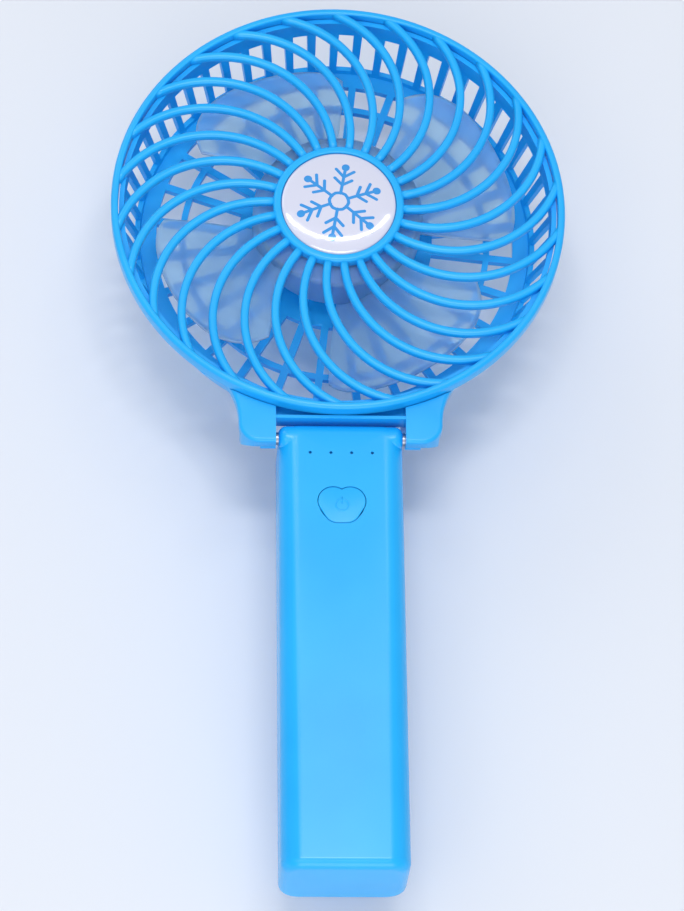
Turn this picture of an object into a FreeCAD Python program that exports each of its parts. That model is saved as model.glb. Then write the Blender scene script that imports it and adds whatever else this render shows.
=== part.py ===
import FreeCAD, Part
import math
import os

# Handheld folding fan. Millimetres. X is the user's right, -Y is the side the air
# leaves, +Z is up. The origin is the centre of the handle's bottom end.

os.makedirs("parts", exist_ok=True)

V = FreeCAD.Vector
AXIS_X = V(1, 0, 0)
AXIS_Y = V(0, 1, 0)

# ---- driving dimensions ------------------------------------------------------

# head
HEAD_R = 55.0            # outside of the front ring
RING_W = 1.75            # front ring, radial width
RING_DEPTH = 3.8         # front ring, front to back
HEAD_DEPTH = 21.2        # lip plane to the back of the rear plate
LIP_FORWARD = 4.0        # lip plane ahead of the handle's front face
RIBS = 26
RIB_W = 2.0
RIB_SWEEP = 37.9         # degrees a rib turns from hub to rim
RIB_MID_SWEEP = 19.2     # degrees it has turned at its middle point
RIB_MID = 0.705          # where that point is, as a share of hub-to-rim distance
RIB_PHASE = 52.6         # polar angle of the first rib's root
HUB_R = 15.9             # front hub ring
HUB_DEPTH = 2.9
BADGE_R = 13.85
BADGE_SEAT = 1.3         # depth of the badge's seat
BADGE_CROWN = 1.3        # rise of the badge's dome
BADGE_PEG_R = 1.2
HOOK_ANGLES = (45, 135)   # polar angles of the two snap hooks
HOOK_W = 3.0
BODY_GAP = 0.2           # cover ring to housing rim
HOUSING_T = 1.2          # bowl wall
SIDE_SLOTS = 56
SLOT_W = 3.65
SLOT_FRONT = 7.2         # depth where a side slot starts
SLOT_FREE = 141.0        # degrees from the top over which slots are cut
BOWL_STRAIGHT = 6.5      # depth where the bowl starts to narrow
BOWL_TAPER = 4.6         # how much its radius loses by the back
SPOKES = 28
SPOKE_W = 1.85
SPOKE_T = 1.7
PLATE_BAND = 3.3         # solid band round the rear plate
MID_RING_R = 37.5
MID_RING_W = 1.5
REAR_HUB_R = 24.0

# motor and rotor
MOTOR_R = 12.2
MOTOR_L = 12.3
MOTOR_FRONT = 10.2       # depth of the motor's front face
MOTOR_FIT = 0.15
CUP_T = 1.4
SHAFT_R = 1.0
BLADES = 4
BLADE_TIP_R = 44.5
BLADE_T = 1.2
BLADE_FRONT = 5.2        # depth of a blade's leading edge
BLADE_BACK = 15.4        # depth of its trailing edge
BLADE_HALF = 33.0        # degrees from a blade's middle line to its edge
BLADE_PHASE = 26.0
BLADE_LEAD_TRIM = 0.30   # share of a blade's length lost at its leading tip corner
BLADE_TRAIL_TRIM = 0.10
ROTOR_HUB_R = 20.6
ROTOR_FRONT = 3.8
ROTOR_T = 1.4
ROTOR_SKIRT = 13.6       # depth where the hub's skirt ends
RUN_GAP = 0.06           # radial clearance of a turning or sliding fit

# handle
BOARD_SPACE = 36.3       # top of the battery bay to the handle's top
HANDLE_W = 29.5
WALL = 2.0
BATTERY_R = 9.25
BATTERY_L = 65.0
BATTERY_GAP = 0.75
CORNER_R = 5.0
TOP_EDGE_R = 2.7
BOTTOM_EDGE_R = 2.4

# hinge
HINGE_R = 3.0            # barrel across the handle's top front edge
HINGE_RISE = 4.8         # lowest point of the ring above the hinge axis
BARREL_END_R = 2.0       # rounding of the barrel's two ends
PIN_R = 1.5
PIN_BORE_R = 0.95
PIN_IN_EAR = 3.2
EAR_GAP = 0.6
EAR_W = 8.75
EAR_FRONT = 3.2          # depth of an ear's front face
EAR_PLATE = 3.1          # front plate of an ear, front to back
EAR_STEP = 0.6           # how far the body behind it stands in from its outer edge
EAR_UNDER = 2.35         # underside below the hinge axis
EAR_CORNER = 5.0
EAR_SLOPE = 30.0
EAR_WALL = 1.6
BRIDGE_T = 0.8           # plate that joins the two ears over the handle
BRIDGE_FRONT = 3.4
BRIDGE_BACK = 8.0
BRIDGE_GAP = 0.8         # handle's top to the plate
EAR_INNER = 2.4          # wall that carries the pin
EAR_BOSS = 3.6           # length of the round boss about the pin

# controls
BUTTON_W = 11.2
BUTTON_BELOW = 18.2      # button centre below the hinge axis
BUTTON_GAP = 0.14
BUTTON_TRAVEL = 0.5
BUTTON_PROUD = 0.12
BUTTON_RIM = 1.3         # keeper rim outside the cap
BUTTON_RIM_T = 1.0
INDICATORS = 4
INDICATOR_PITCH = 4.88
INDICATOR_BELOW = 4.8    # hole line below the hinge axis
INDICATOR_R = 0.36
LED_R = 0.9
BOARD_T = 1.2
BOARD_W = 21.0
BOARD_H = 24.0
SWITCH_W = 6.0
SWITCH_H = 3.5
PLUNGER_R = 1.7
USB_W = 7.5
USB_T = 2.7
USB_L = 5.2
USB_SHELL = 0.35

LEAD_R = 0.5
LEAD_X = 4.9             # where the handle's lead leaves the board
LEAD_RISER = 5.0         # inner face of the ear to the lead's riser

# battery bay
BAY_FLOOR = 2.2
SPRING_L = 5.2
BULKHEAD_T = 1.6
DOOR_GAP = 0.15
DOOR_LUG_W = 1.2
DOOR_LUG_L = 7.0
DOOR_LUGS = 3
DOOR_TRAVEL = 8.0
DOOR_RIDGES = 6
SCREW_R = 1.0
SCREW_HEAD_R = 1.9
SCREW_HEAD_T = 1.3

# ---- worked-out places ---------------------------------------------------------

HANDLE_D = 2 * (BATTERY_R + BATTERY_GAP + WALL)
FRONT_Y = -HANDLE_D / 2
BACK_Y = HANDLE_D / 2
LIP_Y = FRONT_Y - LIP_FORWARD
HINGE_Y = FRONT_Y + HINGE_R
BATTERY_BOTTOM = BAY_FLOOR + SPRING_L + 0.1
BATTERY_TOP = BATTERY_BOTTOM + BATTERY_L
BULKHEAD_Z = BATTERY_TOP + 0.9
HANDLE_H = BULKHEAD_Z + BOARD_SPACE
HINGE_Z = HANDLE_H - HINGE_R
HEAD_Z = HINGE_Z + HINGE_RISE + HEAD_R
RING_IN_R = HEAD_R - RING_W
BOWL_R = RING_IN_R - BODY_GAP
BOWL_FRONT = 2.3
BOWL_BACK_R = BOWL_R - BOWL_TAPER
PLATE_FRONT = HEAD_DEPTH - SPOKE_T
EAR_IN = HANDLE_W / 2 + EAR_GAP
EAR_OUT = EAR_IN + EAR_W
BUTTON_Z = HINGE_Z - BUTTON_BELOW
INDICATOR_Z = HINGE_Z - INDICATOR_BELOW
DOOR_TOP = BULKHEAD_Z + 0.8
DOOR_HALF = BATTERY_R + BATTERY_GAP
SCREW_Z = BULKHEAD_Z + BULKHEAD_T + 3.4
SCREW_X = BOARD_W / 2 - 0.8
BOARD_TOP = HANDLE_H - WALL - 3.0
BOARD_BOTTOM = BOARD_TOP - BOARD_H
BOARD_BACK = -USB_T / 2
BOARD_FRONT = BOARD_BACK - BOARD_T
USB_Z = BOARD_BOTTOM + 8.0
CUP_R = MOTOR_R + MOTOR_FIT + CUP_T
MOTOR_BACK = MOTOR_FRONT + MOTOR_L
CAP_FRONT = MOTOR_BACK + 1.4
LEAD_ANGLE = math.radians(-90 + 1.5 * 360.0 / SPOKES)
MOTOR_SCREW_X = MOTOR_R * 0.66
CAP_SCREW_X = CUP_R + 4.2
SWITCH_FRONT = BOARD_FRONT - SWITCH_H
PLUNGER_OUT = min(1.6, SWITCH_FRONT - FRONT_Y - WALL - 0.15 - BUTTON_RIM_T - BUTTON_TRAVEL)


# ---- helpers -------------------------------------------------------------------

def at_depth(depth):
    """Y of a plane that lies this far behind the lip."""
    return LIP_Y + depth


def head_cyl(radius, front, back, x=0.0, z=0.0):
    """Cylinder along the fan's axis between two depths, x and z from the head's centre."""
    return Part.makeCylinder(radius, back - front, V(x, at_depth(front), HEAD_Z + z), AXIS_Y)


def head_ring(outer, inner, front, back):
    return head_cyl(outer, front, back).cut(head_cyl(inner, front - 1, back + 1))


def head_turn(outline):
    """Solid of revolution about the fan's axis from (radius, depth) corners."""
    points = [V(r, at_depth(d), HEAD_Z) for r, d in outline]
    wire = Part.makePolygon(points + [points[0]])
    return Part.Face(wire).revolve(V(0, 0, HEAD_Z), AXIS_Y, 360)


def turned(shape, degrees):
    """A copy turned about the fan's axis, anticlockwise as seen from the front."""
    copy = shape.copy()
    copy.rotate(V(0, 0, HEAD_Z), V(0, -1, 0), degrees)
    return copy


def box(x0, x1, y0, y1, z0, z1):
    return Part.makeBox(x1 - x0, y1 - y0, z1 - z0, V(x0, y0, z0))


def cross_cyl(radius, x0, x1, y=HINGE_Y, z=HINGE_Z):
    return Part.makeCylinder(radius, x1 - x0, V(x0, y, z), AXIS_X)


def depth_cyl(radius, x, z, y0, y1):
    return Part.makeCylinder(radius, y1 - y0, V(x, y0, z), AXIS_Y)


def joined(shapes):
    first = shapes[0]
    return first.fuse(shapes[1:]).removeSplitter() if len(shapes) > 1 else first


def mirrored(shape):
    return shape.mirror(V(0, 0, 0), AXIS_X)


def lead(points, radius, bend):
    """Insulated wire: straight runs joined by tangent arcs."""
    edges = []
    start = points[0]
    for i in range(1, len(points) - 1):
        corner = points[i]
        back = points[i - 1] - corner
        ahead = points[i + 1] - corner
        back.normalize()
        ahead.normalize()
        half = back.getAngle(ahead) / 2
        reach = bend / math.tan(half)
        middle = back + ahead
        middle.normalize()
        centre = corner + middle * (bend / math.sin(half))
        p0 = corner + back * reach
        p1 = corner + ahead * reach
        edges.append(Part.LineSegment(start, p0).toShape())
        edges.append(Part.Arc(p0, centre - middle * bend, p1).toShape())
        start = p1
    edges.append(Part.LineSegment(start, points[-1]).toShape())
    path = Part.Wire(edges)
    direction = points[1] - points[0]
    section = Part.Wire([Part.makeCircle(radius, points[0], direction)])
    return path.makePipeShell([section], True, True)


# ---- head: front cover -----------------------------------------------------------

def rib():
    """One bar of the grille: a flat-bottomed arc with a rounded front."""
    r0 = HUB_R - 0.6
    r1 = RING_IN_R + RING_W / 2
    rm = HUB_R + RIB_MID * (RING_IN_R - HUB_R)

    def polar(radius, degrees):
        a = math.radians(RIB_PHASE + degrees)
        return V(radius * math.cos(a), at_depth(0.25), HEAD_Z + radius * math.sin(a))

    spine = [polar(r0, 0), polar(rm, RIB_MID_SWEEP), polar(r1, RIB_SWEEP + 1.2)]
    circle = Part.Circle(*spine)
    side = []
    for offset in (-RIB_W / 2, RIB_W / 2):
        scale = 1 + offset / circle.Radius
        side.append([circle.Center + (p - circle.Center) * scale for p in spine])
    a = Part.Arc(*side[0]).toShape()
    b = Part.Arc(*side[1]).toShape()
    ends = [Part.makeLine(side[0][i], side[1][i]) for i in (0, 2)]
    face = Part.Face(Part.Wire(Part.__sortEdges__([a, b] + ends)))
    bar = face.extrude(V(0, 2.0, 0))
    front = [e for e in bar.Edges if e.Length > 10 and e.BoundBox.YMax < at_depth(0.3)]
    bar = bar.makeFillet(RIB_W * 0.42, front)
    return bar.common(head_cyl(HEAD_R - 0.5, -1, 4))


def front_cover():
    """Ring, curved bars, hub with the badge seat, and two snap hooks."""
    ring = head_ring(HEAD_R, RING_IN_R, 0, RING_DEPTH)
    ring = ring.makeFillet(RING_W * 0.46, [e for e in ring.Edges if e.BoundBox.YMax < at_depth(0.01)])
    hub = head_cyl(HUB_R, 0, HUB_DEPTH)
    hub = hub.makeFillet(0.8, [e for e in hub.Edges if e.BoundBox.YMax < at_depth(0.01)])
    hub = hub.cut(head_cyl(BADGE_R + 0.12, -1, BADGE_SEAT))
    hub = hub.cut([head_cyl(BADGE_PEG_R + 0.05, 0, HUB_DEPTH + 1, x=s * BADGE_R / 2) for s in (-1, 1)])
    first = rib()
    bars = [turned(first, i * 360.0 / RIBS) for i in range(RIBS)]
    inside = BOWL_R - HOUSING_T - bowl_narrow(SLOT_FRONT) - 0.15
    hook = head_ring(inside, inside - 0.9, 0.6, SLOT_FRONT + 0.9)
    hook = hook.fuse(head_ring(RING_IN_R + 0.3, inside - 0.9, 0.6, BOWL_FRONT - 0.15))
    hook = hook.fuse(head_ring(inside + 0.6, inside - 0.4, SLOT_FRONT + 0.15, SLOT_FRONT + 0.9))
    block = box(inside - 3, HEAD_R - 0.4, LIP_Y, at_depth(SLOT_FRONT + 2),
                HEAD_Z - HOOK_W / 2, HEAD_Z + HOOK_W / 2)
    hooks = [hook.common(turned(block, slot_centre_near(angle))) for angle in HOOK_ANGLES]
    return joined([ring, hub] + bars + hooks)


def slot_centre_near(angle):
    """Polar angle of the side slot nearest to a polar angle."""
    pitch = 360.0 / SIDE_SLOTS
    return 90 + (math.floor((angle - 90) / pitch) + 0.5) * pitch


def badge_disc():
    """White domed disc that drops into the hub."""
    edge = BADGE_SEAT - 0.9
    sagitta = BADGE_CROWN
    centre_depth = edge - sagitta
    radius = (BADGE_R ** 2 + sagitta ** 2) / (2 * sagitta)
    dome = Part.makeSphere(radius, V(0, at_depth(centre_depth) + radius, HEAD_Z))
    disc = head_cyl(BADGE_R, centre_depth - 1, BADGE_SEAT).common(dome)
    pegs = [head_cyl(BADGE_PEG_R, BADGE_SEAT - 0.2, HUB_DEPTH - 0.2, x=s * BADGE_R / 2) for s in (-1, 1)]
    return joined([disc] + pegs)


# ---- head: rear housing ------------------------------------------------------------

def bowl_narrow(depth):
    """How much the bowl has lost in radius at a depth behind its straight part."""
    return BOWL_TAPER * (depth - BOWL_STRAIGHT) / (HEAD_DEPTH - BOWL_STRAIGHT)


def bowl_outside(grow=0.0):
    """The bowl as a filled body, front rim to rear plate."""
    return head_turn([(0, BOWL_FRONT), (BOWL_R + grow, BOWL_FRONT), (BOWL_R + grow, BOWL_STRAIGHT),
                      (BOWL_BACK_R + grow, HEAD_DEPTH), (0, HEAD_DEPTH)])


def bowl_inside():
    """The air space in front of the rear plate."""
    r = BOWL_R - HOUSING_T
    return head_turn([(0, BOWL_FRONT - 1), (r, BOWL_FRONT - 1), (r, BOWL_STRAIGHT),
                      (r - bowl_narrow(PLATE_FRONT), PLATE_FRONT), (0, PLATE_FRONT)])


def ear_under(depth, rise=0.0):
    """Z of an ear's underside at a depth, or of a line this far above it."""
    back = max(depth - EAR_FRONT - EAR_PLATE, 0)
    slope = math.radians(EAR_SLOPE)
    return HINGE_Z - EAR_UNDER + back * math.tan(slope) + rise / math.cos(slope)


def ear_side(x0, x1, corners):
    """Block between two X planes from (depth, z) corners."""
    points = [V(x0, at_depth(d), z) for d, z in corners]
    return Part.Face(Part.makePolygon(points + [points[0]])).extrude(V(x1 - x0, 0, 0))


def ear():
    """Right-hand hinge lug: a flared front plate and a box behind it, hollow from behind."""
    foot = ear_under(EAR_FRONT)
    flare_x = 0.575 * BOWL_R
    flare_z = HEAD_Z - math.sqrt((BOWL_R - 0.3) ** 2 - flare_x ** 2)
    knee = V(EAR_OUT, 0, foot + EAR_CORNER + 0.3)
    rim = V(flare_x, 0, flare_z)
    # the flare leaves the side tangentially
    across = rim.x - knee.x
    flare_r = (across ** 2 + (rim.z - knee.z) ** 2) / (2 * across)
    half = math.asin((rim.z - knee.z) / flare_r) / 2
    lean = V(knee.x + flare_r * (1 - math.cos(half)), 0, knee.z + flare_r * math.sin(half))
    k = EAR_CORNER * (1 - math.sqrt(0.5))
    corner = Part.Arc(V(EAR_OUT - EAR_CORNER, 0, foot), V(EAR_OUT - k, 0, foot + k),
                      V(EAR_OUT, 0, foot + EAR_CORNER))
    top_z = HEAD_Z - 0.6 * BOWL_R
    edges = [Part.makeLine(V(EAR_IN, 0, foot), V(EAR_OUT - EAR_CORNER, 0, foot)),
             corner.toShape(),
             Part.makeLine(V(EAR_OUT, 0, foot + EAR_CORNER), knee),
             Part.Arc(knee, lean, rim).toShape(),
             Part.makeLine(rim, V(EAR_IN, 0, top_z)),
             Part.makeLine(V(EAR_IN, 0, top_z), V(EAR_IN, 0, foot))]
    outline = Part.Face(Part.Wire(edges))
    outline.translate(V(0, at_depth(EAR_FRONT), 0))
    plate = outline.extrude(V(0, EAR_PLATE, 0))
    rounded = [e for e in plate.Edges
               if e.BoundBox.YMax < at_depth(EAR_FRONT) + 0.01 and e.BoundBox.ZMax < rim.z + 0.01]
    plate = plate.makeFillet(0.9, rounded)
    # body behind the plate: its side corner follows the plate's, its underside slopes up
    body = outline.extrude(V(0, HEAD_DEPTH - EAR_FRONT, 0))
    joint = EAR_FRONT + EAR_PLATE
    body = body.common(ear_side(EAR_IN, EAR_OUT - EAR_STEP,
                                [(joint - 0.5, foot), (joint, foot), (HEAD_DEPTH, ear_under(HEAD_DEPTH)),
                                 (HEAD_DEPTH, HEAD_Z), (joint - 0.5, HEAD_Z)]))
    boss = cross_cyl(EAR_UNDER, EAR_IN, EAR_IN + EAR_BOSS)
    # hollow: a wall above the underside, open at the back and clear of the bowl
    floor = HINGE_Z + PIN_R + 1.0
    turn = joint + (floor - ear_under(joint, EAR_WALL)) / math.tan(math.radians(EAR_SLOPE))
    pocket = ear_side(EAR_IN + EAR_INNER, EAR_OUT - EAR_STEP - EAR_WALL,
                      [(EAR_FRONT + EAR_WALL, floor), (turn, floor),
                       (HEAD_DEPTH + 1, ear_under(HEAD_DEPTH + 1, EAR_WALL)),
                       (HEAD_DEPTH + 1, HEAD_Z), (EAR_FRONT + EAR_WALL, HEAD_Z)])
    return plate.fuse([body, boss]).cut(pocket.cut(bowl_outside(0.05)))


def rear_housing():
    """Bowl with side slots, spoked back, motor cup and the two hinge ears."""
    bowl = bowl_outside()
    ears = [ear()]
    ears.append(mirrored(ears[0]))
    shell = bowl.fuse(ears).cut(bowl_inside())
    # plate between the ears, with a web up to the bowl
    under = HANDLE_H + BRIDGE_GAP
    half = EAR_IN + 0.5
    plate = box(-half, half, at_depth(BRIDGE_FRONT), at_depth(BRIDGE_BACK), under, under + BRIDGE_T)
    web = box(-half, half, at_depth(BRIDGE_BACK - EAR_WALL), at_depth(BRIDGE_BACK),
              under, HEAD_Z - 0.9 * BOWL_R)
    shell = shell.fuse([plate, web.cut(bowl_outside(-HOUSING_T / 2))])
    # the ears stand back from the cover's ring
    shell = shell.cut(head_ring(HEAD_R + BODY_GAP, RING_IN_R - 0.05, 0, RING_DEPTH + BODY_GAP))
    # side slots
    pitch = 360.0 / SIDE_SLOTS
    slot = box(BOWL_R - 9, HEAD_R + 1, at_depth(SLOT_FRONT), at_depth(PLATE_FRONT - 1.0),
               HEAD_Z - SLOT_W / 2, HEAD_Z + SLOT_W / 2)
    slots = []
    for i in range(SIDE_SLOTS):
        from_top = (i + 0.5) * pitch
        if min(from_top, 360 - from_top) < SLOT_FREE:
            slots.append(turned(slot, 90 + from_top))
    shell = shell.cut(slots)
    # rear plate opened to a spoked wheel
    window = head_ring(BOWL_BACK_R - HOUSING_T - PLATE_BAND, REAR_HUB_R, PLATE_FRONT - 1, HEAD_DEPTH + 1)
    shell = shell.cut(window)
    spoke = box(REAR_HUB_R - 1, BOWL_BACK_R - HOUSING_T - PLATE_BAND + 0.6,
                at_depth(PLATE_FRONT), at_depth(HEAD_DEPTH), HEAD_Z - SPOKE_W / 2, HEAD_Z + SPOKE_W / 2)
    wheel = [turned(spoke, 90 + (i + 0.5) * 360.0 / SPOKES) for i in range(SPOKES)]
    wheel.append(head_ring(MID_RING_R + MID_RING_W / 2, MID_RING_R - MID_RING_W / 2,
                           PLATE_FRONT, HEAD_DEPTH))
    # motor cup with a front flange that the motor is screwed to
    cup = head_cyl(CUP_R, MOTOR_FRONT - CUP_T, MOTOR_BACK + 0.6)
    shell = joined([shell, cup] + wheel)
    shell = shell.cut(head_cyl(MOTOR_R + MOTOR_FIT, MOTOR_FRONT, MOTOR_BACK + 2))
    shell = shell.cut(head_cyl(3.6, MOTOR_FRONT - 4, MOTOR_FRONT + 1))
    shell = shell.cut([head_cyl(SCREW_R + 0.1, MOTOR_FRONT - 4, MOTOR_FRONT + 1, x=s * MOTOR_SCREW_X)
                       for s in (-1, 1)])
    shell = shell.cut([head_cyl(0.85, PLATE_FRONT - 1, HEAD_DEPTH + 1, x=s * CAP_SCREW_X)
                       for s in (-1, 1)])
    # notch in the cup for the motor's lead
    shell = shell.cut(lead_notch(MOTOR_R, CUP_R + 1, MOTOR_BACK, MOTOR_BACK + 2))
    # hinge bores, and the lead's way up out of the right-hand one
    for s in (-1, 1):
        x0, x1 = sorted((s * (EAR_IN - 1), s * (EAR_IN + PIN_IN_EAR + 0.1)))
        shell = shell.cut(cross_cyl(PIN_R, x0, x1))
    riser = EAR_IN + LEAD_RISER
    return shell.cut(box(EAR_IN + PIN_IN_EAR, riser + 0.8, HINGE_Y - 0.8, HINGE_Y + 0.8,
                         HINGE_Z - 0.8, HINGE_Z + PIN_R + 1.5))


def lead_notch(inner, outer, front, back):
    """Radial slot that the motor's lead lies in."""
    block = box(inner, outer, at_depth(front), at_depth(back), HEAD_Z - 0.8, HEAD_Z + 0.8)
    return turned(block, math.degrees(LEAD_ANGLE))


def motor_cover():
    """Shallow moulded cap that closes the motor cup at the back."""
    back = CAP_FRONT + 2.2
    cap = head_cyl(CAP_SCREW_X + 3.0, HEAD_DEPTH, back)
    cap = cap.makeFillet(1.6, [e for e in cap.Edges if e.BoundBox.YMin > at_depth(back - 0.01)])
    cap = cap.cut(head_cyl(CUP_R + 0.1, HEAD_DEPTH - 1, CAP_FRONT))
    vents = []
    for i in range(8):
        vents.append(turned(box(4.5, 9.5, at_depth(CAP_FRONT - 1), at_depth(back + 1),
                                HEAD_Z - 0.7, HEAD_Z + 0.7), i * 45.0))
    cap = cap.cut(vents)
    seats = [head_cyl(SCREW_HEAD_R + 0.1, back - SCREW_HEAD_T, back + 1, x=s * CAP_SCREW_X)
             for s in (-1, 1)]
    holes = [head_cyl(SCREW_R + 0.1, HEAD_DEPTH - 1, back, x=s * CAP_SCREW_X) for s in (-1, 1)]
    notch = lead_notch(CUP_R - 1, CAP_SCREW_X + 4, HEAD_DEPTH - 1, MOTOR_BACK + 1.3)
    return cap.cut(seats + holes + [notch])


def screw(tip, head, x, z, along):
    """Countersunk-free pan screw on an axis along Y, with a cross recess."""
    shank = depth_cyl(SCREW_R, x, z, min(tip, head), max(tip, head))
    top = head + along * SCREW_HEAD_T
    cap = depth_cyl(SCREW_HEAD_R, x, z, min(head, top), max(head, top))
    solid = shank.fuse(cap)
    cross = 0.35
    depth = 0.7
    y0 = min(top, top - along * depth)
    y1 = max(top, top - along * depth)
    solid = solid.cut([box(x - 1.3, x + 1.3, y0, y1, z - cross / 2, z + cross / 2),
                       box(x - cross / 2, x + cross / 2, y0, y1, z - 1.3, z + 1.3)])
    return solid


def motor_screws():
    """Two screws through the cup's flange into the motor."""
    return Part.makeCompound([screw(at_depth(MOTOR_FRONT + 1.0), at_depth(MOTOR_FRONT - CUP_T),
                                    s * MOTOR_SCREW_X, HEAD_Z, -1) for s in (-1, 1)])


def cover_screws():
    """Two screws that hold the motor cover to the rear hub."""
    seat = at_depth(CAP_FRONT + 2.2 - SCREW_HEAD_T)
    return Part.makeCompound([screw(at_depth(PLATE_FRONT + 0.1), seat, s * CAP_SCREW_X, HEAD_Z, 1)
                              for s in (-1, 1)])


# ---- motor ----------------------------------------------------------------------------

def motor_can():
    """Drawn steel can, open at the back."""
    can = head_cyl(MOTOR_R, MOTOR_FRONT, MOTOR_BACK - 1.0)
    can = can.cut(head_cyl(MOTOR_R - 0.8, MOTOR_FRONT + 0.8, MOTOR_BACK))
    can = can.fuse(head_cyl(3.3, MOTOR_FRONT - 0.9, MOTOR_FRONT + 0.4))
    can = can.cut(head_cyl(1.9, MOTOR_FRONT - 2, MOTOR_FRONT + 2))
    return can.cut([head_cyl(SCREW_R, MOTOR_FRONT - 1, MOTOR_FRONT + 2, x=s * MOTOR_SCREW_X)
                    for s in (-1, 1)])


def motor_bushings():
    """Two sintered bearings, one in each end of the motor."""
    front = head_ring(1.85, SHAFT_R + RUN_GAP, MOTOR_FRONT - 0.9, MOTOR_FRONT + 1.4)
    back = head_ring(1.85, SHAFT_R + RUN_GAP, MOTOR_BACK - 1.9, MOTOR_BACK)
    return Part.makeCompound([front, back])


def motor_end_bell():
    """Plastic end plate with the brush slots."""
    bell = head_cyl(MOTOR_R, MOTOR_BACK - 1.0, MOTOR_BACK)
    bell = bell.fuse(head_cyl(MOTOR_R - 0.85, MOTOR_BACK - 1.6, MOTOR_BACK - 0.9))
    bell = bell.cut(head_cyl(1.9, MOTOR_BACK - 3, MOTOR_BACK + 2))
    return bell.cut([box(s * 5 - 1, s * 5 + 1, at_depth(MOTOR_BACK - 3), at_depth(MOTOR_BACK + 1),
                         HEAD_Z - 0.4, HEAD_Z + 0.4) for s in (-1, 1)])


def motor_terminals():
    """Two tinned tabs standing out of the end plate."""
    return Part.makeCompound([box(s * 5 - 0.9, s * 5 + 0.9, at_depth(MOTOR_BACK - 1.5),
                                  at_depth(MOTOR_BACK + 1.1), HEAD_Z - 0.3, HEAD_Z + 0.3) for s in (-1, 1)])


def motor_magnets():
    """Two arc magnets glued inside the can."""
    ring = head_ring(MOTOR_R - 0.85, MOTOR_R - 2.9, MOTOR_FRONT + 1.6, MOTOR_BACK - 2.2)
    gap = box(-MOTOR_R, MOTOR_R, LIP_Y, at_depth(40), HEAD_Z - 2.0, HEAD_Z + 2.0)
    return ring.cut(gap)


def motor_armature():
    """Three-pole wound armature on the shaft."""
    r = MOTOR_R - 3.4
    core = head_ring(r, SHAFT_R, MOTOR_FRONT + 2.6, MOTOR_BACK - 3.6)
    slot = box(r * 0.42, r + 1, LIP_Y, at_depth(40), HEAD_Z - 0.6, HEAD_Z + 0.6)
    return core.cut([turned(slot, 30 + i * 120) for i in range(3)])


def motor_shaft():
    return head_cyl(SHAFT_R, ROTOR_FRONT + 0.5, MOTOR_BACK - 0.2)


# ---- fan rotor -------------------------------------------------------------------------

def blade():
    """Twisted sheet: steep at the hub, flatter at the tip, with rounded tip corners."""
    across = 13
    along = 7
    root = ROTOR_HUB_R - 0.9
    rows = []
    for i in range(along):
        t = i / (along - 1.0)
        row = []
        for j in range(across):
            u = 2.0 * j / (across - 1) - 1
            half = BLADE_HALF * (0.80 + 0.34 * t - 0.14 * t * t)
            trim = BLADE_LEAD_TRIM * u ** 4 if u > 0 else BLADE_TRAIL_TRIM * u ** 8
            radius = root + (BLADE_TIP_R - root) * t * (1 - trim)
            a = math.radians(BLADE_PHASE + u * half + 4.0 * t)
            middle = (BLADE_FRONT + BLADE_BACK) / 2
            reach = (BLADE_BACK - BLADE_FRONT - BLADE_T) / 2 * (1 - 0.16 * t)
            depth = middle - BLADE_T / 2 - reach * u * (1 - 0.18 * u * u) / 0.82
            row.append(V(radius * math.cos(a), at_depth(depth), HEAD_Z + radius * math.sin(a)))
        rows.append(row)
    sheet = Part.BSplineSurface()
    sheet.interpolate(rows)
    return sheet.toShape().extrude(V(0, BLADE_T, 0))


def fan_rotor():
    """Clear moulded hub cup with four blades."""
    hub = head_cyl(ROTOR_HUB_R, ROTOR_FRONT, ROTOR_SKIRT)
    hub = hub.makeFillet(1.2, [e for e in hub.Edges if e.BoundBox.YMax < at_depth(ROTOR_FRONT + 0.01)])
    hub = hub.cut(head_cyl(ROTOR_HUB_R - 1.4, ROTOR_FRONT + ROTOR_T, ROTOR_SKIRT + 1))
    hub = hub.fuse(head_cyl(2.8, ROTOR_FRONT + 0.4, MOTOR_FRONT - 2.2))
    hub = hub.cut(head_cyl(SHAFT_R, ROTOR_FRONT + 0.5, MOTOR_FRONT + 2))
    core = head_cyl(ROTOR_HUB_R - 1.4, ROTOR_FRONT + ROTOR_T, ROTOR_SKIRT + 9)
    first = blade().cut(core)
    return joined([hub] + [turned(first, i * 360.0 / BLADES) for i in range(BLADES)])


# ---- handle -------------------------------------------------------------------------------

def handle_form(z0, z1, inset=0.0):
    """The handle's block between two heights, its long edges rounded."""
    half = HANDLE_W / 2 - inset
    block = box(-half, half, FRONT_Y + inset, BACK_Y - inset, z0, z1)
    long_edges = [e for e in block.Edges if e.BoundBox.ZLength > (z1 - z0) / 2]
    return block.makeFillet(CORNER_R - inset, long_edges)


def handle_body():
    """The closed outer form of the handle, with the hinge barrel across its top."""
    form = handle_form(0, HANDLE_H)
    top = [e for e in form.Edges if e.BoundBox.ZMin > HANDLE_H - 0.01]
    form = form.makeFillet(TOP_EDGE_R, top)
    bottom = [e for e in form.Edges if e.BoundBox.ZMax < 0.01]
    form = form.makeFillet(BOTTOM_EDGE_R, bottom)
    barrel = cross_cyl(HINGE_R, -HANDLE_W / 2, HANDLE_W / 2)
    barrel = barrel.makeFillet(BARREL_END_R, barrel.Edges[:1] + barrel.Edges[2:3])
    return form.fuse(barrel).removeSplitter()


def handle_hollow():
    """Everything inside the handle's walls: the battery bay and the board space."""
    space = handle_form(BAY_FLOOR, HANDLE_H - WALL, WALL)
    shelf = box(-HANDLE_W, HANDLE_W, FRONT_Y, BACK_Y, BULKHEAD_Z, BULKHEAD_Z + BULKHEAD_T)
    keep = cross_cyl(HINGE_R + 0.8, -HANDLE_W, HANDLE_W)
    return space.cut(shelf).cut(keep)


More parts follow.
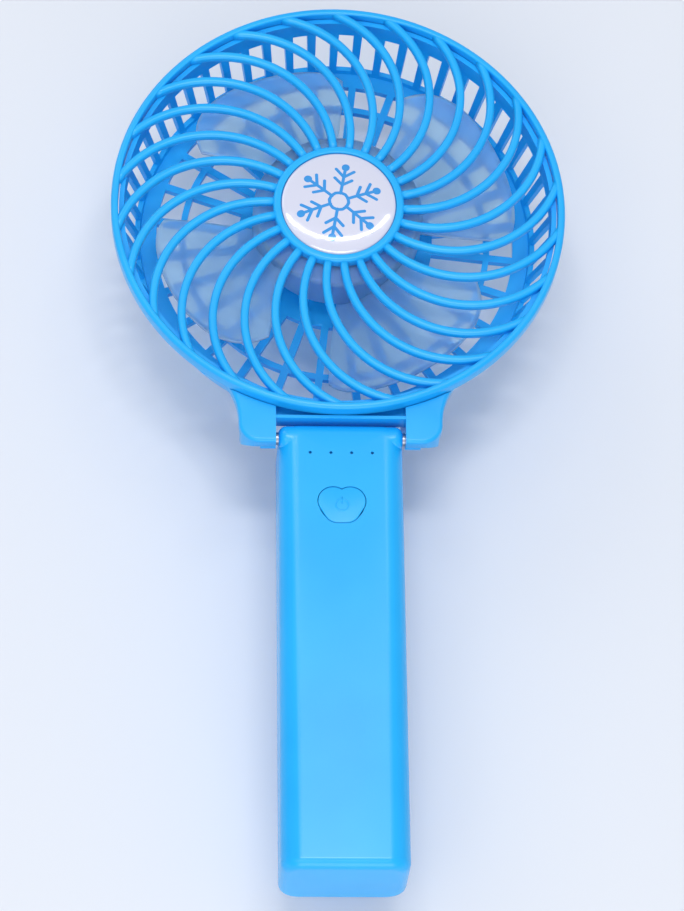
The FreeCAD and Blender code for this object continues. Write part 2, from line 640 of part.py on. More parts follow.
def heart(width, grow, y0, y1):
    """Plump heart about the button's centre: two lobes, two swollen flanks, a flat bottom."""
    lobe_r = width * 0.321 + grow
    lobe_x = width * 0.179
    lobe_z = width * 0.085
    low_r = width * 0.286 + grow
    low_x = width * 0.098
    low_z = -width * 0.1205
    swell = width * 0.012
    parts = []
    for s in (-1, 1):
        parts.append(depth_cyl(lobe_r, s * lobe_x, BUTTON_Z + lobe_z, y0, y1))
        parts.append(depth_cyl(low_r, s * low_x, BUTTON_Z + low_z, y0, y1))
        dx = s * (lobe_x - low_x)
        dz = lobe_z - low_z
        lean = math.asin((lobe_r - low_r) / math.hypot(dx, dz))
        side = math.atan2(dz, dx) - s * (math.pi / 2 + lean)
        out = V(math.cos(side), 0, math.sin(side))
        p = V(s * lobe_x, y0, BUTTON_Z + lobe_z)
        q = V(s * low_x, y0, BUTTON_Z + low_z)
        mid = (p + out * lobe_r + q + out * low_r) * 0.5 + out * swell
        face = Part.Face(Part.Wire([Part.Arc(p + out * lobe_r, mid, q + out * low_r).toShape(),
                                    Part.makeLine(q + out * low_r, q), Part.makeLine(q, p),
                                    Part.makeLine(p, p + out * lobe_r)]))
        parts.append(face.extrude(V(0, y1 - y0, 0)))
    infill = [V(-lobe_x, y0, BUTTON_Z + lobe_z), V(lobe_x, y0, BUTTON_Z + lobe_z),
              V(low_x, y0, BUTTON_Z + low_z), V(low_x, y0, BUTTON_Z + low_z - low_r),
              V(-low_x, y0, BUTTON_Z + low_z - low_r), V(-low_x, y0, BUTTON_Z + low_z)]
    face = Part.Face(Part.makePolygon(infill + [infill[0]]))
    return joined(parts + [face.extrude(V(0, y1 - y0, 0))])


def usb_opening():
    return box(HANDLE_W / 2 - WALL - 1.5, HANDLE_W, -USB_T / 2 - 0.25, USB_T / 2 + 0.25,
               USB_Z - USB_W / 2 - 0.25, USB_Z + USB_W / 2 + 0.25)


def door_form(gap=0.0):
    """The battery door's plate and side lugs, or the room they need."""
    skin = box(-DOOR_HALF - gap, DOOR_HALF + gap, BACK_Y - WALL - gap / 2, BACK_Y + 1, -1, DOOR_TOP + gap)
    pieces = [skin]
    first = 14.0
    step = (DOOR_TOP - first - DOOR_LUG_L - 3.0) / (DOOR_LUGS - 1)
    reach = DOOR_TRAVEL if gap else 0.0
    for i in range(DOOR_LUGS):
        z = first + i * step
        for s in (-1, 1):
            x0, x1 = sorted((s * (DOOR_HALF - 1), s * (DOOR_HALF + DOOR_LUG_W + gap)))
            pieces.append(box(x0, x1, BACK_Y - WALL - gap / 2, BACK_Y - WALL + 0.9 + gap,
                              z - gap - reach, z + DOOR_LUG_L + gap))
    return joined(pieces)


def handle_front_shell(body, hollow):
    half = box(-HANDLE_W, HANDLE_W, FRONT_Y - 5, 0, -5, HANDLE_H + 5)
    shell = body.common(half).cut(hollow)
    posts = [depth_cyl(2.2, s * SCREW_X, SCREW_Z, FRONT_Y + WALL - 0.2, 0) for s in (-1, 1)]
    shell = shell.fuse(posts)
    shell = shell.cut([depth_cyl(SCREW_R - 0.1, s * SCREW_X, SCREW_Z, FRONT_Y + WALL + 1, 1)
                       for s in (-1, 1)])
    # button opening and indicator holes
    shell = shell.cut(heart(BUTTON_W, BUTTON_GAP, FRONT_Y - 1, FRONT_Y + WALL + 1))
    holes = []
    for i in range(INDICATORS):
        x = (i - (INDICATORS - 1) / 2.0) * INDICATOR_PITCH
        holes.append(depth_cyl(INDICATOR_R, x, INDICATOR_Z, FRONT_Y - 1, FRONT_Y + WALL + 1))
    shell = shell.cut(holes)
    # hinge bores, from each side to the barrel's middle web
    for s in (-1, 1):
        x0, x1 = sorted((s * (LEAD_X - 0.9), s * (HANDLE_W / 2 + 1)))
        shell = shell.cut(cross_cyl(PIN_R + RUN_GAP, x0, x1))
    # wire exit from the right-hand bore into the board space
    shell = shell.cut(box(LEAD_X - 0.9, LEAD_X + 0.9, HINGE_Y, FRONT_Y + 12, HINGE_Z - 1.0, HINGE_Z + 1.0))
    return shell.cut(usb_opening()).removeSplitter()


def handle_rear_shell(body, hollow):
    half = box(-HANDLE_W, HANDLE_W, 0, BACK_Y + 5, -5, HANDLE_H + 5)
    shell = body.common(half).cut(hollow)
    posts = [depth_cyl(2.6, s * SCREW_X, SCREW_Z, 0, BACK_Y - WALL + 0.2) for s in (-1, 1)]
    shell = shell.fuse(posts)
    shell = shell.cut([depth_cyl(SCREW_R + 0.1, s * SCREW_X, SCREW_Z, -1, BACK_Y + 1) for s in (-1, 1)])
    seat = BACK_Y - SCREW_HEAD_T - 0.6
    shell = shell.cut([depth_cyl(SCREW_HEAD_R + 0.1, s * SCREW_X, SCREW_Z, seat, BACK_Y + 1)
                       for s in (-1, 1)])
    return shell.cut(usb_opening()).cut(door_form(DOOR_GAP)).removeSplitter()


def handle_screws():
    seat = BACK_Y - SCREW_HEAD_T - 0.6
    return Part.makeCompound([screw(FRONT_Y + WALL + 3, seat, s * SCREW_X, SCREW_Z, 1) for s in (-1, 1)])


def battery_door(body):
    """Flush sliding cover with thumb ridges; its lugs hook under the bay's edges."""
    door = body.common(door_form())
    ridges = []
    for i in range(DOOR_RIDGES):
        z = DOOR_TOP - 8 - i * 1.8
        ridges.append(box(-5, 5, BACK_Y - 0.4, BACK_Y + 1, z, z + 0.8))
    return door.cut(ridges)


# ---- hinge ----------------------------------------------------------------------------------

def hinge_pin(side, hollow):
    """Steel pin pressed into an ear and running in the handle's barrel."""
    x0 = HANDLE_W / 2 - 8.5
    x1 = EAR_IN + PIN_IN_EAR
    pin = cross_cyl(PIN_R, x0, x1)
    if hollow:
        pin = pin.cut(cross_cyl(PIN_BORE_R, x0 - 1, x1 + 1))
    else:
        pin = pin.makeChamfer(0.3, [pin.Edges[0], pin.Edges[2]])
    return pin if side > 0 else mirrored(pin)


# ---- controls and electronics -------------------------------------------------------------------

def power_button():
    """Heart-shaped cap with a keeper rim behind the shell and a post over the switch."""
    cap = heart(BUTTON_W, 0, FRONT_Y - BUTTON_PROUD, FRONT_Y + WALL + 0.15)
    rim = heart(BUTTON_W, BUTTON_RIM, FRONT_Y + WALL + 0.15, FRONT_Y + WALL + 0.15 + BUTTON_RIM_T)
    post = depth_cyl(1.6, 0, BUTTON_Z, FRONT_Y + WALL + 0.15, SWITCH_FRONT - PLUNGER_OUT)
    # raised power sign: an open circle with a bar
    sign_r = 1.45
    line = 0.42
    y0 = FRONT_Y - BUTTON_PROUD - 0.12
    y1 = FRONT_Y + 0.5
    circle = depth_cyl(sign_r + line / 2, 0, BUTTON_Z, y0, y1).cut(
        depth_cyl(sign_r - line / 2, 0, BUTTON_Z, y0 - 1, y1 + 1))
    circle = circle.cut(box(-0.65, 0.65, y0 - 1, y1 + 1, BUTTON_Z, BUTTON_Z + 3))
    bar = box(-line / 2, line / 2, y0, y1, BUTTON_Z + 0.1, BUTTON_Z + sign_r + 0.55)
    return joined([cap, rim, post, circle, bar])


def circuit_board():
    board = box(-BOARD_W / 2, BOARD_W / 2, BOARD_FRONT, BOARD_BACK, BOARD_BOTTOM, BOARD_TOP)
    notch = [depth_cyl(3.0, s * SCREW_X, SCREW_Z, BOARD_FRONT - 1, BOARD_BACK + 1) for s in (-1, 1)]
    return board.cut(notch)


def charge_chip():
    """Charger and driver chip on the back of the board."""
    body = box(-7.5, -2.5, BOARD_BACK, BOARD_BACK + 1.4, BUTTON_Z + 4, BUTTON_Z + 8)
    legs = []
    for i in range(4):
        z = BUTTON_Z + 4.4 + i * 0.9
        legs.append(box(-8.2, -1.8, BOARD_BACK, BOARD_BACK + 0.4, z, z + 0.4))
    return joined([body] + legs)


def switch_body():
    """Six-millimetre push switch soldered to the board."""
    body = box(-SWITCH_W / 2, SWITCH_W / 2, SWITCH_FRONT, BOARD_FRONT, BUTTON_Z - SWITCH_W / 2,
               BUTTON_Z + SWITCH_W / 2)
    return body.cut(depth_cyl(PLUNGER_R + RUN_GAP, 0, BUTTON_Z, SWITCH_FRONT - 1, BOARD_FRONT - 1.0))


def switch_plunger():
    return depth_cyl(PLUNGER_R, 0, BUTTON_Z, SWITCH_FRONT - PLUNGER_OUT,
                     BOARD_FRONT - 1.0 - BUTTON_TRAVEL - 0.1)


def indicator_led(index):
    x = (index - (INDICATORS - 1) / 2.0) * INDICATOR_PITCH
    tip = FRONT_Y + WALL + 0.3
    stem = depth_cyl(LED_R, x, INDICATOR_Z, tip + LED_R, BOARD_FRONT)
    return stem.fuse(Part.makeSphere(LED_R, V(x, tip + LED_R, INDICATOR_Z)))


def usb_socket():
    """Charging socket on the board's right-hand edge."""
    x1 = HANDLE_W / 2 - 0.9
    can = box(x1 - USB_L, x1, -USB_T / 2, USB_T / 2, USB_Z - USB_W / 2, USB_Z + USB_W / 2)
    can = can.makeFillet(0.7, [e for e in can.Edges if abs(e.Length - USB_L) < 0.01])
    s = USB_SHELL
    can = can.cut(box(x1 - USB_L + 0.6, x1 + 1, -USB_T / 2 + s, USB_T / 2 - s,
                      USB_Z - USB_W / 2 + s, USB_Z + USB_W / 2 - s))
    tongue = box(x1 - USB_L + 0.3, x1 - 0.8, -0.05, 0.6, USB_Z - 2.0, USB_Z + 2.0)
    return can.fuse(tongue)


def battery_cell():
    can = Part.makeCylinder(BATTERY_R, BATTERY_L - 1.4, V(0, 0, BATTERY_BOTTOM))
    can = can.makeFillet(0.6, [e for e in can.Edges if e.Length > 20 and e.BoundBox.ZLength < 0.1])
    return can.fuse(Part.makeCylinder(2.8, 1.9, V(0, 0, BATTERY_TOP - 1.9)))


def battery_spring():
    """Coil that presses on the battery's lower end."""
    turns = 3.5
    wire_r = 0.4
    pitch = (SPRING_L - 2 * wire_r) / turns
    helix = Part.makeHelix(pitch, SPRING_L - 2 * wire_r, 4.0)
    section = Part.Wire([Part.makeCircle(wire_r, V(4.0, 0, 0), AXIS_Y)])
    coil = helix.makePipeShell([section], True, True)
    coil.translate(V(0, 0, BAY_FLOOR + wire_r + 0.02))
    return coil


def contact_plate():
    """Nickelled plate on the bulkhead, against the battery's button end."""
    plate = box(-5, 5, -4, 4, BULKHEAD_Z - 0.4, BULKHEAD_Z)
    return plate.fuse(Part.makeCylinder(2.0, 0.45, V(0, 0, BATTERY_TOP + 0.05)))


def handle_lead():
    """Motor supply from the board to the hinge's hollow pin."""
    front = BOARD_FRONT - LEAD_R - 0.1
    return lead([V(LEAD_X, front, HINGE_Z - 9), V(LEAD_X, front, HINGE_Z),
                 V(LEAD_X, HINGE_Y, HINGE_Z), V(EAR_IN - 0.6, HINGE_Y, HINGE_Z)], LEAD_R, 1.2)


def lead_point(radius, depth):
    """A point over the spoke that carries the motor's lead."""
    return V(radius * math.cos(LEAD_ANGLE), at_depth(depth), HEAD_Z + radius * math.sin(LEAD_ANGLE))


def motor_lead():
    """The same supply from the hinge's pin, up the back of one spoke, to the motor."""
    riser = EAR_IN + LEAD_RISER
    along = HEAD_DEPTH + LEAD_R + 0.05
    inside = MOTOR_BACK + LEAD_R + 0.2
    band = lead_point(BOWL_BACK_R - 2.0, along)
    above = EAR_WALL + LEAD_R + 0.4
    return lead([V(EAR_IN + 1.2, HINGE_Y, HINGE_Z), V(riser, HINGE_Y, HINGE_Z),
                 V(riser, HINGE_Y, HINGE_Z + PIN_R + 1.0 + above - EAR_WALL),
                 V(riser, at_depth(along), ear_under(along, above)), band, lead_point(CUP_R + 4.2, along),
                 lead_point(CUP_R + 1.4, inside), lead_point(MOTOR_R - 4.8, inside),
                 V(5.0, at_depth(inside), HEAD_Z - 0.4)], LEAD_R, 0.9)


# ---- assembly ---------------------------------------------------------------------------------------

def build():
    body = handle_body()
    hollow = handle_hollow()
    nodes = {
        "front_cover": front_cover(),
        "badge_disc": badge_disc(),
        "rear_housing": rear_housing(),
        "motor_cover": motor_cover(),
        "motor_cover_screws": cover_screws(),
        "motor_can": motor_can(),
        "motor_end_bell": motor_end_bell(),
        "motor_bushings": motor_bushings(),
        "motor_terminals": motor_terminals(),
        "motor_magnets": motor_magnets(),
        "motor_mount_screws": motor_screws(),
        "motor_armature": motor_armature(),
        "motor_shaft": motor_shaft(),
        "fan_rotor": fan_rotor(),
        "hinge_pin_left": hinge_pin(-1, False),
        "hinge_pin_right": hinge_pin(1, True),
        "handle_front_shell": handle_front_shell(body, hollow),
        "handle_rear_shell": handle_rear_shell(body, hollow),
        "handle_screws": handle_screws(),
        "power_button": power_button(),
        "circuit_board": circuit_board(),
        "charge_chip": charge_chip(),
        "switch_body": switch_body(),
        "switch_plunger": switch_plunger(),
        "usb_socket": usb_socket(),
        "battery_cell": battery_cell(),
        "battery_spring": battery_spring(),
        "battery_contact_plate": contact_plate(),
        "battery_door": battery_door(body),
        "handle_lead": handle_lead(),
        "motor_lead": motor_lead(),
    }
    for i in range(INDICATORS):
        nodes["indicator_led_%d" % (i + 1)] = indicator_led(i)
    for name, shape in nodes.items():
        box_ = shape.BoundBox
        print(name, len(shape.Solids), shape.isValid(), round(shape.Volume, 1),
              [round(v, 2) for v in (box_.XMin, box_.XMax, box_.YMin, box_.YMax, box_.ZMin, box_.ZMax)])
        shape.exportStep("parts/%s.step" % name)


build()
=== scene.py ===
import bmesh
import bpy
import math
from mathutils import Matrix, Vector


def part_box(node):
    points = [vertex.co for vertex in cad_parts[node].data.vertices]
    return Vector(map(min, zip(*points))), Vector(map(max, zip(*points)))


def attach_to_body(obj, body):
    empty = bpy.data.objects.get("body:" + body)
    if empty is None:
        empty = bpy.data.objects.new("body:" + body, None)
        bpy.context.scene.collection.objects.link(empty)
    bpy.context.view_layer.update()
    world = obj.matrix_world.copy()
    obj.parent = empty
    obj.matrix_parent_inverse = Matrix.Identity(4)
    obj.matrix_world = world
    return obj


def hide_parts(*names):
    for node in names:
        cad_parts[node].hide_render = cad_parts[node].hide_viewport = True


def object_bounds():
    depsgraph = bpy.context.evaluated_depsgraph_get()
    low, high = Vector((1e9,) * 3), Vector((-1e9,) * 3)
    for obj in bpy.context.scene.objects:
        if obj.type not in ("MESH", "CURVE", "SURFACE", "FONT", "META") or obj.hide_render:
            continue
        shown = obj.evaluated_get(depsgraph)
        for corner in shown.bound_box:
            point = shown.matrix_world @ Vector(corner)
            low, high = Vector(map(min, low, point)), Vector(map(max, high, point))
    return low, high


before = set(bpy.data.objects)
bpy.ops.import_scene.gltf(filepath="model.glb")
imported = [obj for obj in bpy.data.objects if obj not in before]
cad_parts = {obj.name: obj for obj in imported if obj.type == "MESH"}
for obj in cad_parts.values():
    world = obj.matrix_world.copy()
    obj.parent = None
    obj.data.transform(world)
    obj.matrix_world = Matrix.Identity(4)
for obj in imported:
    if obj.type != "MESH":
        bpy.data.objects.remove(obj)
cad_low, cad_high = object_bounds()

# The backdrop: a seamless sheet of white paper hung close behind the fan, which takes
# its soft shadow. Seen from behind it vanishes, and it lets the back lamps through.
MM = 0.001
HEAD_LOW, HEAD_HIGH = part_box("front_cover")
HEAD_R = (HEAD_HIGH.x - HEAD_LOW.x) / 2
LIP_Y = HEAD_LOW.y
HEAD_Z = (HEAD_LOW.z + HEAD_HIGH.z) / 2
HEAD = Vector((0, LIP_Y, HEAD_Z))
SHEET_HALF = 3.0
SHEET_GAP = 14 * MM
SHEET_Y = cad_high.y + SHEET_GAP


class Link:
    """A shader socket that can be used in sums; each sum adds its Math node."""

    def __init__(self, tree, socket):
        self.tree = tree
        self.socket = socket

    def maths(self, operation, *others):
        node = self.tree.nodes.new("ShaderNodeMath")
        node.operation = operation
        for place, value in zip(node.inputs, (self,) + others):
            attach(self.tree, place, value)
        return Link(self.tree, node.outputs[0])

    def __add__(self, other):
        return self.maths("ADD", other)

    def __radd__(self, other):
        return self.maths("ADD", other)

    def __sub__(self, other):
        return self.maths("SUBTRACT", other)

    def __rsub__(self, other):
        return (self * -1.0).maths("ADD", other)

    def __mul__(self, other):
        return self.maths("MULTIPLY", other)

    def __rmul__(self, other):
        return self.maths("MULTIPLY", other)

    def __truediv__(self, other):
        return self.maths("DIVIDE", other)

    def clamped(self):
        return self.maths("ADD", 0.0).maths("MAXIMUM", 0.0).maths("MINIMUM", 1.0)


def attach(tree, place, value):
    if isinstance(value, Link):
        tree.links.new(value.socket, place)
    else:
        place.default_value = value


class Finish:
    """One material: its Principled shader, and node() for every other node."""

    def __init__(self, name, **constants):
        self.material = bpy.data.materials.new(name)
        self.material.use_nodes = True
        self.tree = self.material.node_tree
        self.shader = self.tree.nodes["Principled BSDF"]
        for socket, value in constants.items():
            self.shader.inputs[socket.replace("_", " ")].default_value = value

    def node(self, kind, settings=None, out=0, **sockets):
        made = self.tree.nodes.new("ShaderNode" + kind)
        for key, value in (settings or {}).items():
            if key == "stops":
                ramp = made.color_ramp
                while len(ramp.elements) < len(value):
                    ramp.elements.new(0.5)
                for element, (place, colour) in zip(ramp.elements, value):
                    element.position = place
                    element.color = colour
            else:
                setattr(made, key, value)
        for key, value in sockets.items():
            place = made.inputs[int(key[1:])] if key[0] == "i" and key[1:].isdigit() \
                else made.inputs[key.replace("_", " ")]
            attach(self.tree, place, value)
        return Link(self.tree, made.outputs[out])

    def place(self):
        """Object coordinates, in metres."""
        return self.node("TexCoord", out=3)

    def feed(self, socket, link):
        self.tree.links.new(link.socket, self.shader.inputs[socket])

    def grain(self, scale, detail=3.0, stretch=None):
        vector = self.place()
        if stretch:
            vector = self.node("Mapping", Vector=vector, Scale=stretch)
        return self.node("TexNoise", Vector=vector, Scale=scale, Detail=detail, Roughness=0.55)

    def bump(self, height, strength, distance):
        bumped = self.node("Bump", Height=height, Strength=strength, Distance=distance)
        self.feed("Normal", bumped)


def piece(name, mesh_bm, finish, body, smooth=True):
    """Turns a finished bmesh into an object that rides on a body."""
    mesh = bpy.data.meshes.new(name)
    for face in mesh_bm.faces:
        face.smooth = smooth
    mesh_bm.to_mesh(mesh)
    mesh_bm.free()
    thing = bpy.data.objects.new(name, mesh)
    bpy.context.scene.collection.objects.link(thing)
    mesh.materials.append(finish)
    if body:
        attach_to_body(thing, body)
    return thing


paper = Finish("backdrop_paper", Base_Color=(0.77, 0.795, 0.85, 1), Roughness=0.95,
               Specular_IOR_Level=0.05)
shadow_ray = paper.node("LightPath", out=1)
seen_from_behind = paper.node("NewGeometry", out=6)
sheet_veil = (shadow_ray + seen_from_behind).clamped()
sheet_mix = paper.node("MixShader", Fac=sheet_veil, i1=Link(paper.tree, paper.shader.outputs[0]),
                       i2=paper.node("BsdfTransparent"))
paper.tree.links.new(sheet_mix.socket, paper.tree.nodes["Material Output"].inputs[0])
sheet_bm = bmesh.new()
sheet_stand = Matrix.Translation((0, SHEET_Y, HEAD_Z)) @ Matrix.Rotation(math.radians(90), 4, "X")
bmesh.ops.create_grid(sheet_bm, x_segments=1, y_segments=1, size=SHEET_HALF, matrix=sheet_stand)
backdrop = piece("backdrop_sheet", sheet_bm, paper.material, None, smooth=False)

# The camera: a long lens held below the head, close to its middle line, looking up at
# it by about 25 degrees, with the fan filling the height of the frame.
LENS = 142.3
SENSOR = 36.0
CAMERA_ELEVATION = math.radians(-24.70)
CAMERA_AZIMUTH = math.radians(-3.34)
CAMERA_ROLL = math.radians(-0.79)
CAMERA_DISTANCE = 0.8701
CAMERA_SLIDE = 0.00076
CAMERA_DROP = -0.06105
towards = Vector((math.sin(CAMERA_AZIMUTH) * math.cos(CAMERA_ELEVATION),
                  -math.cos(CAMERA_AZIMUTH) * math.cos(CAMERA_ELEVATION), math.sin(CAMERA_ELEVATION)))
level = (-towards).cross(Vector((0, 0, 1))).normalized()
upward = level.cross(-towards)
right = math.cos(CAMERA_ROLL) * level + math.sin(CAMERA_ROLL) * upward
up = -math.sin(CAMERA_ROLL) * level + math.cos(CAMERA_ROLL) * upward
lens_data = bpy.data.cameras.new("camera")
lens_data.lens = LENS
lens_data.sensor_width = SENSOR
camera = bpy.data.objects.new("camera", lens_data)
bpy.context.scene.collection.objects.link(camera)
spot = HEAD + towards * CAMERA_DISTANCE + right * CAMERA_SLIDE + up * CAMERA_DROP
camera.matrix_world = Matrix.Translation(spot) @ Matrix((right, up, towards)).transposed().to_4x4()
bpy.context.scene.camera = camera

# The lighting: a pale room, soft boxes low in front, high on the left and under the foot,
# a narrow one for the sheen near the foot, one behind for the back, and an arc of nine
# small lamps that draws the bright curve on the badge.
ROOM_TINT = (0.90, 0.94, 1.0, 1)
ROOM_LIGHT = 0.52
bpy.context.scene.view_settings.view_transform = "Standard"
room = bpy.data.worlds.new("room")
bpy.context.scene.world = room
room.use_nodes = True
room.node_tree.nodes["Background"].inputs[0].default_value = ROOM_TINT
room.node_tree.nodes["Background"].inputs[1].default_value = ROOM_LIGHT


def soft_box(name, place, aim, width, height, power, roll=0.0):
    data = bpy.data.lights.new(name, "AREA")
    data.shape = "RECTANGLE"
    data.size = width
    data.size_y = height
    data.energy = power
    lamp = bpy.data.objects.new(name, data)
    lamp.visible_camera = False
    bpy.context.scene.collection.objects.link(lamp)
    facing = (aim - place).to_track_quat("-Z", "Y").to_matrix().to_4x4()
    lamp.matrix_world = Matrix.Translation(place) @ facing @ Matrix.Rotation(roll, 4, "Z")


def bearing_from(centre, azimuth, elevation, distance):
    """A place in front of a point, by angles in degrees to the right and upwards."""
    across, rise = math.radians(azimuth), math.radians(elevation)
    return centre + distance * Vector((math.sin(across) * math.cos(rise),
                                       -math.cos(across) * math.cos(rise), math.sin(rise)))


middle = (cad_low + cad_high) / 2
foot = Vector((0, cad_low.y, cad_low.z))
# name, aimed at, azimuth and elevation in degrees, distance, width and height in m, watts
for name, aim, azimuth, elevation, distance, width, height, watts in (
        ("box_low_front", middle, -12, -30, 1.2, 0.9, 0.6, 2.7),
        ("box_high_left", middle, -38, 40, 1.3, 0.6, 0.6, 1.7),
        ("box_under", foot, 5, -70, 0.9, 0.6, 0.6, 2.8),
        ("box_sheen", foot, 0, 7.3, 1.2, 0.5, 0.14, 3.7)):
    soft_box(name, bearing_from(aim, azimuth, elevation, distance), aim, width, height, watts)
BACK_BOX_FROM_MIDDLE = Vector((0.15, 1.3, 0.2))
BACK_BOX_SIDE = 0.7
BACK_BOX_WATTS = 2.4
soft_box("box_back", middle + BACK_BOX_FROM_MIDDLE, middle, BACK_BOX_SIDE, BACK_BOX_SIDE, BACK_BOX_WATTS)
ARC_AZIMUTH = 2.5
ARC_ELEVATION = 35.6
ARC_RADIUS = 23.4
ARC_LAMPS = 9
ARC_STEP = 13
ARC_DISTANCE = 1.2
ARC_LAMP_WIDTH = 0.125
ARC_LAMP_HEIGHT = 0.020
ARC_LAMP_WATTS = 0.17
for number in range(ARC_LAMPS):
    swing = math.radians(ARC_STEP * (number - (ARC_LAMPS - 1) / 2))
    place = bearing_from(HEAD, ARC_AZIMUTH + ARC_RADIUS * math.sin(swing),
                         ARC_ELEVATION - ARC_RADIUS * math.cos(swing), ARC_DISTANCE)
    soft_box("arc_lamp_%d" % number, place, HEAD, ARC_LAMP_WIDTH, ARC_LAMP_HEIGHT, ARC_LAMP_WATTS, swing)

# The front cover: one moulding in blue ABS. A flat-fronted ring, a hub ring with a seat
# for the badge, and 26 swept bars with rounded fronts that run into both.
ROUND_STEPS = 6
RING_R = HEAD_R / MM
RING_WIDTH = 1.75
RING_IN_R = RING_R - RING_WIDTH
RING_STEPS = 208
RING_DEPTH = 3.8
HUB_R = 15.9
HUB_DEPTH = 2.9
HUB_STEPS = 144
SEAT_R = 13.98
SEAT_DEPTH = 1.3
BARS = 26
BAR_HALF = 1.0
BAR_FRONT = 0.25
BAR_BACK = 2.25
BAR_ROOT = 52.6
BAR_SWEEP = 37.9
BAR_MID_SWEEP = 19.2
BAR_MID = 0.705
BAR_STEPS = 28
BAR_ROOT_IN = 0.6
BAR_RIM_IN = 1.1
BAR_FRONT_ROUND = 0.85
BAR_BACK_ROUND = 0.3
DOUBLES_GAP = 0.002
SLIVER_GAP = 0.001


def head_point(radius, depth, degrees=0.0):
    """A point given in mm about the fan's axis: radius, depth behind the lip, angle."""
    angle = math.radians(degrees)
    return HEAD + Vector((radius * math.cos(angle), depth, radius * math.sin(angle))) * MM


def rounded(corners):
    """(a, b) points of a closed outline from (a, b, rounding) corners."""
    points = []
    for i, (x, y, radius) in enumerate(corners):
        here = Vector((x, y))
        if radius == 0:
            points.append((x, y))
            continue
        back = (Vector(corners[i - 1][:2]) - here).normalized()
        ahead = (Vector(corners[(i + 1) % len(corners)][:2]) - here).normalized()
        half = back.angle(ahead) / 2
        centre = here + (back + ahead).normalized() * radius / math.sin(half)
        start = here + back * radius / math.tan(half) - centre
        sweep = (math.pi - 2 * half) * (1 if back.cross(ahead) < 0 else -1)
        for step in range(ROUND_STEPS + 1):
            turned = Matrix.Rotation(sweep * step / ROUND_STEPS, 2) @ start
            points.append(tuple(centre + turned))
    return points


def loop_of(bm, points):
    """Vertices and edges of a closed loop."""
    verts = [bm.verts.new(point) for point in points]
    edges = [bm.edges.new((verts[i - 1], verts[i])) for i in range(len(verts))]
    return verts + edges


def whirl(bm, outline, steps):
    """Spins a closed outline of (radius, depth) points about the fan's axis."""
    made = loop_of(bm, [head_point(radius, depth) for radius, depth in outline])
    bmesh.ops.spin(bm, geom=made, cent=HEAD, axis=(0, 1, 0), angle=math.tau, steps=steps,
                   use_merge=True)


def verts_of(geom):
    """Only the vertices of what an operator gave back."""
    return [item for item in geom if isinstance(item, bmesh.types.BMVert)]


def everything(bm):
    """All that has been made so far."""
    return list(bm.verts) + list(bm.edges) + list(bm.faces)


def tidy(bm):
    """Merges doubles, drops slivers and turns all faces outwards."""
    bmesh.ops.remove_doubles(bm, verts=bm.verts, dist=DOUBLES_GAP * MM)
    bmesh.ops.dissolve_degenerate(bm, edges=bm.edges, dist=SLIVER_GAP * MM)
    bmesh.ops.recalc_face_normals(bm, faces=bm.faces)


def repeat_round(bm, geom, count):
    """Copies of some geometry round the fan's axis."""
    for i in range(1, count):
        copy = bmesh.ops.duplicate(bm, geom=geom)["geom"]
        bmesh.ops.rotate(bm, verts=verts_of(copy), cent=HEAD,
                         matrix=Matrix.Rotation(math.tau * i / count, 3, "Y"))


BLUE_DEEP = (0.008, 0.405, 0.90, 1)
BLUE_PALE = (0.014, 0.445, 0.95, 1)


def blue_abs(name, gloss=0.30):
    """Moulded ABS, blue right through, with the faint unevenness of the tool's surface."""
    made = Finish(name, Specular_IOR_Level=0.42)
    made.feed("Base Color", made.node("ValToRGB", {"stops": [(0.3, BLUE_DEEP), (0.7, BLUE_PALE)]},
                                      Fac=made.grain(38.0, 2.0)))
    made.feed("Roughness", (gloss - 0.02) + made.grain(900.0, 2.0) * 0.05)
    made.bump(made.grain(2600.0, 2.0), 0.03, 0.00002)
    return made


cover_bm = bmesh.new()
root = head_point(HUB_R - BAR_ROOT_IN, BAR_FRONT, BAR_ROOT)
knee = head_point(HUB_R + BAR_MID * (RING_IN_R - HUB_R), BAR_FRONT, BAR_ROOT + BAR_MID_SWEEP)
rim = head_point(RING_R - BAR_RIM_IN, BAR_FRONT, BAR_ROOT + BAR_SWEEP)
a_side, b_side, c_side = (rim - knee).length, (rim - root).length, (knee - root).length
weights = [a_side ** 2 * (b_side ** 2 + c_side ** 2 - a_side ** 2),
           b_side ** 2 * (c_side ** 2 + a_side ** 2 - b_side ** 2),
           c_side ** 2 * (a_side ** 2 + b_side ** 2 - c_side ** 2)]
bar_centre = (root * weights[0] + knee * weights[1] + rim * weights[2]) / sum(weights)
outward = (root - bar_centre).normalized()
bar_section = rounded([(-BAR_HALF, BAR_BACK, BAR_BACK_ROUND), (-BAR_HALF, BAR_FRONT, BAR_FRONT_ROUND),
                       (BAR_HALF, BAR_FRONT, BAR_FRONT_ROUND), (BAR_HALF, BAR_BACK, BAR_BACK_ROUND)])
section = loop_of(cover_bm, [root + outward * a * MM + Vector((0, (b - BAR_FRONT) * MM, 0))
                             for a, b in bar_section])
first_end = bmesh.ops.contextual_create(cover_bm, geom=section)["faces"]
turn = (rim - bar_centre).cross(root - bar_centre).y
bar_arc = (root - bar_centre).angle(rim - bar_centre) * (1 if turn < 0 else -1)
bmesh.ops.spin(cover_bm, geom=section + first_end, cent=bar_centre, axis=(0, 1, 0), angle=bar_arc,
               steps=BAR_STEPS)
repeat_round(cover_bm, everything(cover_bm), BARS)
whirl(cover_bm, rounded([(RING_IN_R, 0, 0.5), (RING_R, 0, 0.9), (RING_R, RING_DEPTH, 0.3),
                         (RING_IN_R, RING_DEPTH, 0.2)]), RING_STEPS)
